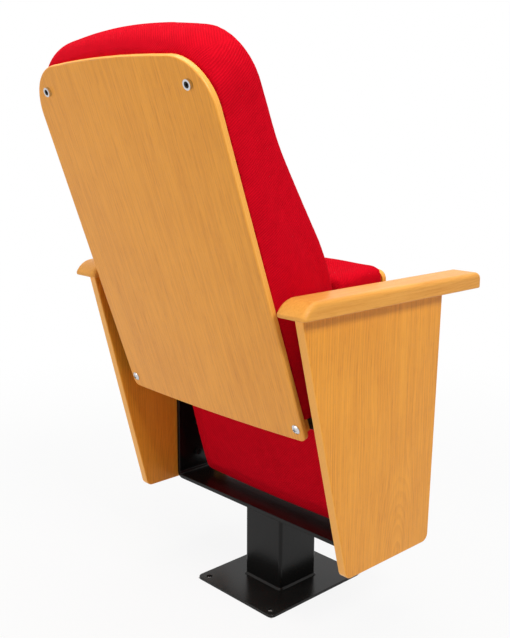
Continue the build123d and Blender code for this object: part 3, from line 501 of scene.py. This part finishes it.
def polish_group():
    """Fine scratches and smears on bare metal."""
    group, given, out = new_group(
        "Handled metal",
        [
            ("Vector", VECTOR, None),
            ("Metal", COLOUR, None),
            ("Stain", COLOUR, None),
            ("Smooth", NUMBER, 0.15),
            ("Spread", NUMBER, 0.2),
        ],
        [("Color", COLOUR), ("Roughness", NUMBER), ("Height", NUMBER)],
    )
    scratches = noise(group, given["Vector"], (2600, 300, 2600), 2, 0.6)
    smears = noise(group, given["Vector"], 130, 3, 0.6)
    stain = step(group, smears, 0.48, 0.78, 0.0, 0.5)
    group.links.new(tint(group, stain, given["Metal"], given["Stain"]), out["Color"])
    handled = sums(group, "MULTIPLY", scratches, smears)
    rough = sums(group, "MULTIPLY_ADD", handled, given["Spread"], given["Smooth"])
    group.links.new(rough, out["Roughness"])
    group.links.new(scratches, out["Height"])
    return group


def effect(name, build, *needs):
    """A shared node group, built the first time that it is asked for."""
    return bpy.data.node_groups.get(name) or build(*needs)


# ------------------------------------------------------------------ materials

def new_material(name, bump, **shader):
    """A material with a Principled shader; returns it, its tree, and a function that feeds it.

    bump is how far its highest relief stands over its lowest.
    """
    material = bpy.data.materials.new(name)
    tree = emptied(material)
    principled = tree.nodes.new("ShaderNodeBsdfPrincipled")
    surface = tree.nodes.new("ShaderNodeOutputMaterial")
    tree.links.new(principled.outputs[0], surface.inputs["Surface"])
    for key, value in shader.items():
        principled.inputs[key.replace("_", " ")].default_value = value

    def feed(colour, rough, height):
        normal = put(tree, "Bump", {"Height": height, "Distance": bump, "Strength": 1.0})
        supply(tree, principled, {"Base Color": colour, "Roughness": rough, "Normal": normal})

    return material, tree, feed


def placed(tree, where=(0, 0, 0), turn=(0, 0, 0)):
    """Object coordinates and normals, seen from a place and a turn of a piece's own."""
    coordinates = tree.nodes.new("ShaderNodeTexCoord").outputs
    point = put(
        tree, "Mapping", {"Vector": coordinates["Object"], "Location": where, "Rotation": turn},
        vector_type="TEXTURE",
    )
    normal = put(
        tree, "Mapping", {"Vector": coordinates["Normal"], "Rotation": turn}, vector_type="TEXTURE"
    )
    return point, normal


def rgba(three):
    return (*three, 1.0)


def wood(
    name, turn, where, heart,
    slant=0.0, thick=None, solid=False, contrast=1.5, ring=1.0, figure=0.1,
):
    """Varnished wood: a veneered board with plied edges, or a solid piece.

    turn and where set the piece's own frame, in which its growth rings run round its heart.
    """
    looks = bpy.context.scene.seat_wood
    material, tree, feed = new_material(
        name, bump=0.00012, Specular_IOR_Level=0.2 if solid else 0.3,
        Coat_Weight=0.04 if solid else 0.12, Coat_Roughness=0.3,
    )
    point, _ = placed(tree, where, turn)
    light, dark = (
        (looks.arm_light, looks.arm_dark) if solid else (looks.veneer_light, looks.veneer_dark)
    )
    grain = use(
        tree, effect("Wood figure", wood_group),
        {
            "Vector": point, "Light": rgba(light), "Dark": rgba(dark), "Heart": heart,
            "Slant": slant, "Ring": looks.ring * ring, "Figure": figure, "Contrast": contrast,
        },
    )
    tone, height = grain["Color"], grain["Height"]
    if thick:
        edge = use(
            tree, effect("Plied edge", ply_group),
            {
                "Color": tone, "Height": height, "Depth": parts(tree, point)[1],
                "Thickness": thick, "Ply": looks.ply, "Vector": point,
                "Edge": rgba(looks.edge), "Core": rgba(looks.core),
            },
        )
        tone, height = edge["Color"], edge["Height"]
    feed(tone, grain["Roughness"], height)
    return material


def twill(name, where, turn):
    """Red twill upholstery on one cushion."""
    looks = bpy.context.scene.seat_fabric
    material, tree, feed = new_material(
        name, bump=looks.relief, Sheen_Weight=0.2, Sheen_Roughness=0.4,
        Sheen_Tint=(1.0, 0.03, 0.06, 1.0), Specular_IOR_Level=0.03,
    )
    point, normal = placed(tree, where, turn)
    ribs = effect("Twill ribs", rib_group)
    weave = use(
        tree, effect("Twill", twill_group, ribs),
        {
            "Vector": point, "Normal": normal, "Pitch": looks.rib,
            "Ridge": rgba(looks.lit_ridge), "Groove": rgba(looks.shaded_groove),
        },
    )
    feed(weave["Color"], weave["Roughness"], weave["Height"])
    return material


def coated(name):
    """Black stoved coating on steel."""
    looks = bpy.context.scene.seat_metal
    material, tree, feed = new_material(name, bump=0.00003, Specular_IOR_Level=0.21)
    point, normal = placed(tree)
    coat = use(
        tree, effect("Stoved coating", coat_group),
        {"Vector": point, "Normal": normal, "Coat": rgba(looks.coat), "Dust and painted light": rgba(looks.dust_and_painted_light)},
    )
    feed(coat["Color"], coat["Roughness"], coat["Height"])
    return material


def bare_metal(name, metal, stain, smooth, spread):
    """Plated or bare metal."""
    material, tree, feed = new_material(name, bump=0.00002, Metallic=1.0)
    point, _ = placed(tree)
    polish = use(
        tree, effect("Handled metal", polish_group),
        {
            "Vector": point, "Metal": rgba(metal), "Stain": rgba(stain),
            "Smooth": smooth, "Spread": spread,
        },
    )
    feed(polish["Color"], polish["Roughness"], polish["Height"])
    return material


def moulded(name, colour, rough, grain):
    """Moulded plastic or rubber, with a fine eroded grain."""
    material, tree, feed = new_material(name, bump=0.00005)
    point, _ = placed(tree)
    pits = noise(tree, point, grain, 3, 0.6)
    bloom = noise(tree, point, 60)
    paler = tuple(min(1.0, c * 1.5 + 0.01) for c in colour)
    feed(
        tint(tree, bloom, rgba(colour), rgba(paler)),
        sums(tree, "MULTIPLY_ADD", bloom, 0.2, rough - 0.1),
        pits,
    )
    return material


def paint(material, *names):
    """Gives CAD nodes a material."""
    for name in names:
        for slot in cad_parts[name].material_slots:
            slot.material = material


def veneer(node, name, tilt, origin, forwards, thick, heart, **figure):
    """Wood for a leaning board, whose middle lies so far forwards of an origin."""
    middle = origin + leaning(tilt, forwards)
    paint(wood(name, (-tilt, 0, 0), middle, heart, thick=thick, **figure), node)


# ------------------------------------------------------------------ cushions

def own_copy(node, name):
    """A new object with a CAD node's shape, its triangles joined up."""
    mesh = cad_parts[node].data.copy()
    mesh.materials.clear()
    shape = bmesh.new()
    shape.from_mesh(mesh)
    bmesh.ops.remove_doubles(shape, verts=shape.verts, dist=1e-6)
    shape.to_mesh(mesh)
    shape.free()
    piece = bpy.data.objects.new(name, mesh)
    bpy.context.scene.collection.objects.link(piece)
    return piece


def applied(piece):
    """Makes what a piece's modifiers give its mesh, and removes them."""
    bpy.context.view_layer.update()
    graph = bpy.context.evaluated_depsgraph_get()
    mesh = bpy.data.meshes.new_from_object(piece.evaluated_get(graph))
    piece.modifiers.clear()
    piece.data = mesh


def points_of(mesh):
    points = np.empty(len(mesh.vertices) * 3, np.float32)
    mesh.vertices.foreach_get("co", points)
    return points.reshape(-1, 3)


def set_points(mesh, points):
    mesh.vertices.foreach_set("co", points.astype(np.float32).ravel())
    mesh.update()


def normals_of(mesh):
    normals = np.empty(len(mesh.vertices) * 3, np.float32)
    mesh.vertex_normals.foreach_get("vector", normals)
    return normals.reshape(-1, 3)


def relaxed(mesh, held, rounds=2):
    """Evens a remesh's steps, except where a point is held."""
    shape = bmesh.new()
    shape.from_mesh(mesh)
    shape.verts.ensure_lookup_table()
    free = [shape.verts[i] for i in np.flatnonzero(~held)]
    for _ in range(rounds):
        bmesh.ops.smooth_vert(
            shape, verts=free, factor=0.5, use_axis_x=True, use_axis_y=True, use_axis_z=True
        )
    shape.to_mesh(mesh)
    shape.free()


def room_beside(points, neighbours):
    """The most that each point may move out: its share of the way to each neighbouring node."""
    most = np.full(len(points), np.inf)
    for node, share in neighbours.items():
        shape = bmesh.new()
        shape.from_mesh(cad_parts[node].data)
        tree = BVHTree.FromBMesh(shape)
        shape.free()
        away = np.array([tree.find_nearest(point.tolist())[3] for point in points])
        most = np.minimum(most, away * share - CLEARANCE)
    return most


def cushion(node, name, body, rear, neighbours):
    """A foam cushion in its cover.

    rear is the direction in which it lies on its board. neighbours are the nodes that the
    cover keeps off, each with the share of the gap that it may take.
    """
    looks = bpy.context.scene.seat_fabric
    piece = own_copy(node, name)
    remesh = piece.modifiers.new("Even mesh", "REMESH")
    remesh.mode = "VOXEL"
    remesh.voxel_size = looks.voxel
    remesh.use_smooth_shade = True
    applied(piece)
    mesh = piece.data
    held = normals_of(mesh) @ np.array(rear, np.float32) > LYING
    relaxed(mesh, held)
    finished, outward = points_of(mesh), normals_of(mesh)
    push = np.zeros(len(finished))
    set_points(mesh, finished - outward * (~held)[:, None] * looks.tuck)
    push = ((settled(piece, held, looks) - finished) * outward).sum(1)
    reach = np.where(push > 0, looks.swell, looks.sink)
    push = reach * np.tanh(push / reach)
    push = np.minimum(push + looks.cover, room_beside(finished, neighbours))
    push = np.where(held, 0, push)
    set_points(mesh, finished + outward * push[:, None])
    relaxed(mesh, held)
    mesh.shade_smooth()
    finer = piece.modifiers.new("Finer", "SUBSURF")
    finer.levels = finer.render_levels = 1
    applied(piece)
    piece.data.shade_smooth()
    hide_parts(node)
    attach(piece, body)
    return piece


def settled(piece, held, looks):
    """Where the cover's points come to rest when the foam pushes it out."""
    scene = bpy.context.scene
    group = piece.vertex_groups.new(name="held")
    group.add([int(i) for i in np.flatnonzero(held)], 1.0, "REPLACE")
    cover = piece.modifiers.new("Cover", "CLOTH")
    cloth = cover.settings
    cloth.quality = 4
    cloth.use_pressure = True
    cloth.uniform_pressure_force = looks.pressure
    cloth.effector_weights.gravity = 0
    cloth.vertex_group_mass = "held"
    cover.collision_settings.use_collision = False
    cover.point_cache.frame_start = 1
    cover.point_cache.frame_end = looks.frames
    for number in range(1, looks.frames + 1):
        scene.frame_set(number)
    graph = bpy.context.evaluated_depsgraph_get()
    points = points_of(piece.evaluated_get(graph).data)
    piece.modifiers.clear()
    piece.vertex_groups.clear()
    scene.frame_set(1)
    return points


class SEAT_OT_back_cushion(Operator):
    """Foam back cushion in its red cover"""

    bl_idname = "seat.back_cushion"
    bl_label = "Back cushion"
    bl_options = {"REGISTER", "UNDO"}

    def execute(self, context):
        metal = on_both_sides("back_bracket_", "bracket_screws_")
        neighbours = {"seat_cushion": CUSHION_SHARE, **dict.fromkeys(metal, METAL_SHARE)}
        rear = leaning(BACK_TILT, -1)
        piece = cushion("back_cushion", "back_pad", "frame", rear, neighbours)
        piece.data.materials.append(twill("Back cover", BACK_FOOT, (-BACK_TILT, 0, 0)))
        return {"FINISHED"}


class SEAT_OT_seat_cushion(Operator):
    """Foam seat cushion in its red cover"""

    bl_idname = "seat.seat_cushion"
    bl_label = "Seat cushion"
    bl_options = {"REGISTER", "UNDO"}

    def execute(self, context):
        metal = on_both_sides("hinge_plate_", "hinge_pin_", "hinge_bush_")
        neighbours = {"back_cushion": CUSHION_SHARE, **dict.fromkeys(metal, METAL_SHARE)}
        under = leaning(SEAT_LEAN, 1)
        piece = cushion("seat_cushion", "seat_pad", "seat", under, neighbours)
        piece.data.materials.append(twill("Seat cover", HINGE, (-SEAT_LEAN, 0, 0)))
        return {"FINISHED"}


class SEAT_OT_return_springs(Operator):
    """Copies of the return springs in spring steel, in one fixed shape; the real springs wind up
    as the seat goes down
    """

    bl_idname = "seat.return_springs"
    bl_label = "Return springs"
    bl_options = {"REGISTER", "UNDO"}

    def execute(self, context):
        looks = context.scene.seat_metal
        steel = bare_metal(
            "Spring steel", looks.spring, stain=(0.09, 0.07, 0.05), smooth=0.3, spread=0.25
        )
        for side in SIDES:
            node = "return_spring_" + side
            piece = own_copy(node, "coil_" + side)
            piece.data.materials.append(steel)
            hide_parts(node)
            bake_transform(piece)
        return {"FINISHED"}


class SEAT_OT_woodwork(Operator):
    """Veneer on the boards and panels, and solid arm rests"""

    bl_idname = "seat.woodwork"
    bl_label = "Woodwork"
    bl_options = {"REGISTER", "UNDO"}

    def execute(self, context):
        quarter = radians(90)
        hearts = {"left": (0.03, 0.060, 0.26), "right": (-0.008, 0.055, 0.303)}
        for side, sign in (("left", 1), ("right", -1)):
            low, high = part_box("side_board_" + side)
            middle = (low.x + high.x) / 2
            board = wood(
                "Side board veneer " + side, (0, 0, quarter), (middle, 0, 0), hearts[side],
                slant=0.25, thick=high.x - low.x, figure=0.24,
            )
            paint(board, "side_board_" + side)
            low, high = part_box("arm_rest_" + side)
            centre = ((low.x + high.x) / 2, 0, (low.z + high.z) / 2)
            arm = wood(
                "Arm rest wood " + side, (-quarter, 0, 0), centre,
                heart=(0.01 * sign, 0.05, -0.1), slant=0.10, solid=True, figure=0.16,
            )
            paint(arm, "arm_rest_" + side)
        veneer(
            "back_panel", "Back panel veneer", BACK_TILT, BACK_FOOT, BACK_PANEL / 2,
            BACK_PANEL, heart=(0.36, 0.05, 0.0), ring=0.9,
        )
        veneer(
            "seat_panel", "Seat panel veneer", SEAT_LEAN, HINGE, HINGE_RISE - SEAT_PANEL / 2,
            SEAT_PANEL, heart=(-0.34, 0.05, 0.0),
        )
        hidden = {"heart": (0.1, 0.0, 0.1), "slant": 0.1, "contrast": 1.3}
        veneer(
            "back_board", "Back plywood", BACK_TILT, BACK_FOOT,
            BACK_PANEL + INNER_BOARD / 2, INNER_BOARD, **hidden,
        )
        veneer(
            "seat_board", "Seat plywood", SEAT_LEAN, HINGE,
            HINGE_RISE - SEAT_PANEL - INNER_BOARD / 2, INNER_BOARD, **hidden,
        )
        dowels = wood(
            "Dowel wood", (0, 0, 0), (0, 0, 0), heart=(0.2, 0.1, 0), slant=0.05, solid=True
        )
        paint(dowels, *on_both_sides("arm_dowels_"))
        return {"FINISHED"}


class SEAT_OT_steelwork(Operator):
    """Black coating on the plate, post, frame, brackets and hinges"""

    bl_idname = "seat.steelwork"
    bl_label = "Steelwork"
    bl_options = {"REGISTER", "UNDO"}

    def execute(self, context):
        pairs = on_both_sides("back_bracket_", "hinge_plate_", "hinge_housing_", "frame_bolts_")
        paint(
            coated("Black coating"),
            "base_plate", "post_tube", "post_weld", "u_frame", "top_screws", *pairs,
        )
        return {"FINISHED"}


class SEAT_OT_fittings(Operator):
    """Chrome, zinc, plastic and rubber on the small fittings"""

    bl_idname = "seat.fittings"
    bl_label = "Fittings"
    bl_options = {"REGISTER", "UNDO"}

    def execute(self, context):
        looks = context.scene.seat_metal
        chrome = bare_metal(
            "Bright chrome", looks.chrome, stain=(0.55, 0.55, 0.54), smooth=0.07, spread=0.16
        )
        zinc = bare_metal(
            "Zinc plating", looks.zinc, stain=(0.42, 0.40, 0.33), smooth=0.26, spread=0.3
        )
        bush = moulded("Bush plastic", (0.62, 0.60, 0.54), rough=0.42, grain=500)
        rubber = moulded("Rubber", (0.02, 0.02, 0.02), rough=0.75, grain=700)
        fasteners = on_both_sides(
            "board_inserts_", "bracket_screws_", "hinge_pin_",
            "housing_screws_", "stop_studs_", "hinge_plate_screws_",
        )
        paint(chrome, "top_cups", "bottom_screws")
        paint(zinc, "back_inserts", "seat_panel_screws", *fasteners)
        paint(bush, *on_both_sides("hinge_bush_"))
        paint(rubber, *on_both_sides("stop_sleeves_"))
        return {"FINISHED"}


class SEAT_OT_stage(Operator):
    """Pale studio with soft lamps, and the camera of the photograph"""

    bl_idname = "seat.stage"
    bl_label = "Studio"
    bl_options = {"REGISTER", "UNDO"}

    def execute(self, context):
        looks = context.scene.seat_stage
        self.lay_floor(context, looks)
        self.light_world(context, looks)
        self.hang_lamps(context, looks)
        self.aim_camera(context)
        context.scene.view_settings.view_transform = "Standard"
        return {"FINISHED"}

    def lay_floor(self, context, looks):
        mesh = bpy.data.meshes.new("studio_floor")
        shape = bmesh.new()
        bmesh.ops.create_circle(shape, cap_ends=True, segments=96, radius=FLOOR_RADIUS)
        shape.to_mesh(mesh)
        shape.free()
        floor = bpy.data.objects.new("studio_floor", mesh)
        floor.location.z = -FLOOR_DROP
        context.scene.collection.objects.link(floor)
        mesh.materials.append(floor_paint(looks))

    def light_world(self, context, looks):
        world = bpy.data.worlds.new("Studio")
        context.scene.world = world
        tree = emptied(world)
        soft = put(tree, "Background", {"Color": AMBIENT_COLOUR, "Strength": looks.ambient})
        white = put(tree, "Background", {"Color": WHITE, "Strength": 1.0})
        both = put(tree, "MixShader", {0: seen(tree), 1: soft, 2: white})
        put(tree, "OutputWorld", {"Surface": both})

    def hang_lamps(self, context, looks):
        for name, power, size, place, target in (
            ("key", looks.key, 1.0, (-2.6, 0.8, 2.9), (0, 0, 0.55)),
            ("fill", looks.fill, 2.0, (0.5, 3.1, 0.9), (0, 0, 0.5)),
            ("top", looks.top, 2.6, (0.2, 0.3, 3.0), (0, 0, 0.5)),
        ):
            lamp = bpy.data.lights.new(name, "AREA")
            lamp.shape = "DISK"
            lamp.size = size
            lamp.energy = power
            lamp.color = LAMP_COLOUR
            hung = bpy.data.objects.new(name, lamp)
            hung.location = place
            hung.rotation_euler = looking(Vector(target) - Vector(place)).to_euler()
            context.scene.collection.objects.link(hung)

    def aim_camera(self, context):
        lens = bpy.data.cameras.new("camera")
        lens.lens = CAMERA_LENS
        lens.sensor_width = CAMERA_SENSOR
        camera = bpy.data.objects.new("camera", lens)
        camera.location = CAMERA_PLACE
        roll = Quaternion((0, 0, 1), CAMERA_ROLL)
        camera.rotation_euler = (looking(CAMERA_AIM) @ roll).to_euler()
        context.scene.collection.objects.link(camera)
        context.scene.camera = camera


def looking(direction):
    """The turn of a lamp or camera that looks in a direction."""
    return direction.to_track_quat("-Z", "Y")


def seen(tree):
    """1 for what the camera sees, straight, in a mirror or through glass, and 0 for lighting."""
    path = tree.nodes.new("ShaderNodeLightPath").outputs
    both = sums(tree, "MAXIMUM", path["Is Camera Ray"], path["Is Glossy Ray"])
    return sums(tree, "MAXIMUM", both, path["Is Transmission Ray"])


def floor_paint(looks):
    """Matt paint that takes the seat's shadow, under a white glow that only the camera sees.

    It doesn't glow under the base plate, so that the plate's holes look dark.
    """
    material = bpy.data.materials.new("Studio floor")
    tree = emptied(material)
    point = tree.nodes.new("ShaderNodeTexCoord").outputs["Object"]
    speck = noise(tree, point, 90, 3)
    colour = tint(tree, sums(tree, "MULTIPLY", speck, 0.06), rgba(looks.floor), WHITE)
    matt = put(tree, "BsdfDiffuse", {"Color": colour})
    glow = put(tree, "Emission", {"Color": WHITE, "Strength": 1.0})
    far = vectors(tree, "LENGTH", point).node.outputs["Value"]
    pale = step(tree, far, GLOW_NEAR, GLOW_FAR, GLOW_SHARE, 1.0)
    outside = step(tree, beyond_plate(tree, point), -GLOW_RIM, 0.0)
    pale = sums(tree, "MULTIPLY", pale, outside)
    shown = sums(tree, "MULTIPLY", seen(tree), pale)
    surface = put(tree, "MixShader", {0: shown, 1: matt, 2: glow})
    put(tree, "OutputMaterial", {"Surface": surface})
    return material


def beyond_plate(tree, point):
    """How far a point of the floor lies outside the base plate, or below 0 under it."""
    x, y, _ = parts(tree, point)
    _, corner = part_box("base_plate")
    return sums(
        tree, "MAXIMUM",
        sums(tree, "SUBTRACT", sums(tree, "ABSOLUTE", x), corner.x),
        sums(tree, "SUBTRACT", sums(tree, "ABSOLUTE", y), corner.y),
    )


class SEAT_PT_panel(Panel):
    """The seat's pieces, finishes and studio"""

    bl_idname = "SEAT_PT_panel"
    bl_label = "Auditorium seat"
    bl_space_type = "VIEW_3D"
    bl_region_type = "UI"
    bl_category = "Seat"

    def draw(self, context):
        for title, settings, operators in (
            ("Upholstery", "seat_fabric", (SEAT_OT_back_cushion, SEAT_OT_seat_cushion)),
            ("Wood", "seat_wood", (SEAT_OT_woodwork,)),
            ("Metal", "seat_metal", (SEAT_OT_steelwork, SEAT_OT_fittings, SEAT_OT_return_springs)),
            ("Studio", "seat_stage", (SEAT_OT_stage,)),
        ):
            box = self.layout.box()
            box.label(text=title)
            group = getattr(context.scene, settings)
            for name in group.__annotations__:
                box.prop(group, name)
            for operator in operators:
                box.operator(operator.bl_idname)


SETTINGS = {
    "seat_fabric": FabricSettings,
    "seat_wood": WoodSettings,
    "seat_metal": MetalSettings,
    "seat_stage": StageSettings,
}
OPERATORS = (
    SEAT_OT_back_cushion,
    SEAT_OT_seat_cushion,
    SEAT_OT_woodwork,
    SEAT_OT_steelwork,
    SEAT_OT_fittings,
    SEAT_OT_return_springs,
    SEAT_OT_stage,
)


def register():
    for kind in (*SETTINGS.values(), *OPERATORS, SEAT_PT_panel):
        bpy.utils.register_class(kind)
    for name, kind in SETTINGS.items():
        setattr(bpy.types.Scene, name, PointerProperty(type=kind))


def unregister():
    for name in SETTINGS:
        delattr(bpy.types.Scene, name)
    for kind in reversed((*SETTINGS.values(), *OPERATORS, SEAT_PT_panel)):
        bpy.utils.unregister_class(kind)


def main():
    register()
    bpy.ops.seat.back_cushion()
    bpy.ops.seat.seat_cushion()
    bpy.ops.seat.woodwork()
    bpy.ops.seat.steelwork()
    bpy.ops.seat.fittings()
    bpy.ops.seat.return_springs()
    bpy.ops.seat.stage()


if __name__ == "__main__":
    main()
